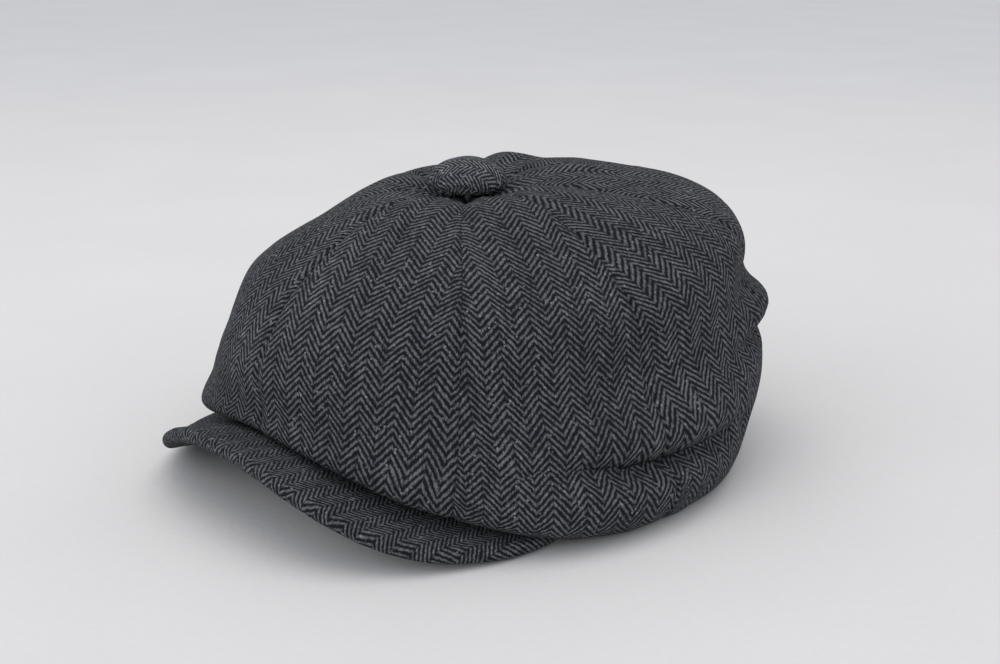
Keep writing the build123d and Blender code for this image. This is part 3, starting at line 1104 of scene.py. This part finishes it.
def make_peak_under(tweed):
    """The peak's lower cloth, inside the upper cloth's tuck."""
    low = -VISOR_THICK / 2 - UNDER_DROP
    offsets = [(share, 0, low) for share in np.linspace(UNDER_EDGE, 0, 26)]
    grid = roughened(visor_rows(PEAK_ANGLES, offsets), UNDER_RIPPLES)
    peak_cloth("peak_under_cloth", "visor_bottom_cover", grid, len(grid), tweed)


def make_board(plastic):
    """The stiff board inside the peak, bent like the cloth round it."""
    angles = np.linspace(BOARD_END, -BOARD_END, 121)
    offsets = [(share, 0, BOARD / 2) for share in np.linspace(0, 0.995, 24)]
    grid = visor_rows(angles, offsets)
    board = shell("peak_board", grid, visor_weave(grid, len(grid)), BOARD)
    dress(board, plastic, "visor_board")
    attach(board, "visor")


# ---- button ------------------------------------------------------------------

# (share of the radius, share of the height) from the middle of the top to the tuck
BUTTON_PROFILE = [(0.001, 1.0), (0.22, 0.985), (0.42, 0.94), (0.60, 0.86), (0.76, 0.74),
                  (0.88, 0.60), (0.96, 0.45), (1.0, 0.30), (0.99, 0.16), (0.93, 0.05),
                  (0.84, 0.0), (0.70, 0.0)]
BUTTON_WEAVE = 1.45         # the tweed looks closer still on the button
BUTTON_CLOTH = 1.1
BUTTON_LIFT = 0.6           # the cloth's tuck above the CAD button's underside
BUTTON_FULLER = 0.8         # and how much higher than the CAD button it is
PLEATS = 22
PLEAT_DEPTH = 0.55
PLEAT_TOP = 0.62            # the pleats fade out at this share of the height


def make_button(tweed):
    """Tweed gathered over a domed button, tucked in underneath."""
    rows = np.array(BUTTON_PROFILE)
    shares = np.linspace(0, len(rows) - 1, 56)
    line = np.array([smooth_row(rows, share) for share in shares])
    run = lengths_along(line * [BUTTON_RADIUS, BUTTON_TOP - BUTTON_BOTTOM])
    angles = np.linspace(0, 360, 145)[:-1]
    turn = np.radians(angles)
    grid, weave = [], []
    for (reach, height), length in zip(line, run):
        low = max(0, 1 - height / PLEAT_TOP)
        pleat = PLEAT_DEPTH * low * np.cos(PLEATS * turn + 1.7 * np.sin(3 * turn))
        uneven = 0.35 * np.sin(2 * turn + 0.6) + 0.2 * np.sin(5 * turn)
        radius = reach * (BUTTON_RADIUS + pleat + uneven * reach)
        radius = np.maximum(radius, 0.02)
        z = BUTTON_BOTTOM + BUTTON_LIFT
        z = z + height * (BUTTON_TOP - BUTTON_BOTTOM + BUTTON_FULLER)
        z = z + 0.35 * reach * np.sin(turn * 3 + 1.0)
        grid.append(np.stack([radius * np.cos(turn), radius * np.sin(turn), z], -1))
        spread = length * BUTTON_WEAVE
        weave.append(np.stack([spread * np.cos(turn + 0.9), spread * np.sin(turn + 0.9)], -1))
    grid, weave = np.array(grid)[:, ::-1], np.array(weave)[:, ::-1]
    piece = shell("button_cloth", grid, weave, BUTTON_CLOTH, closed=True)
    dress(piece, tweed, "button_cover")
    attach(piece, "button")


# ---- pieces kept from the frame ----------------------------------------------

def finish_node(name, material):
    """Gives a CAD node its finished material."""
    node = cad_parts[name]
    node.data.materials.clear()
    node.data.materials.append(material)


make_camera()
make_stage()

crown_tweed = tweed_material("herringbone_tweed")
lining_satin = satin_material("lining_satin", (0.030, 0.032, 0.040, 1))
band_cotton = cotton_material("sweatband_cotton", (0.040, 0.041, 0.047, 1))
tape_cotton = solid_cloth_material("cotton_tape", (0.055, 0.055, 0.062, 1))
thread_cotton = solid_cloth_material("sewing_thread", (0.10, 0.10, 0.11, 1), pitch=0.3)
label_satin = solid_cloth_material("label_satin", (0.52, 0.50, 0.45, 1), pitch=0.35)
board_plastic = plastic_material("board_plastic", (0.60, 0.60, 0.58, 1))
button_metal = metal_material("button_metal", (0.75, 0.75, 0.76, 1))
retainer_steel = metal_material("retainer_steel", (0.50, 0.50, 0.50, 1))

make_crown(crown_tweed)
make_lining(lining_satin)
make_sweatband(band_cotton)
make_band_stitches(thread_cotton)
make_label_stitches(thread_cotton)
make_peak_top(crown_tweed)
make_peak_under(crown_tweed)
make_board(board_plastic)
# painted light: the button's copy of the tweed is 1.5 times lighter than the crown's, as light on
# the cap's top
make_button(tweed_material("herringbone_tweed_button", 1.5))

for tape in ("stay_tape", "sweatband_rear_tape", "tip_patch"):
    finish_node(tape, tape_cotton)
for tab in ("size_tab", "blank_label"):
    finish_node(tab, label_satin)
for metal in ("button_shell", "button_back_plate", "button_shank"):
    finish_node(metal, button_metal)
finish_node("button_retainer", retainer_steel)
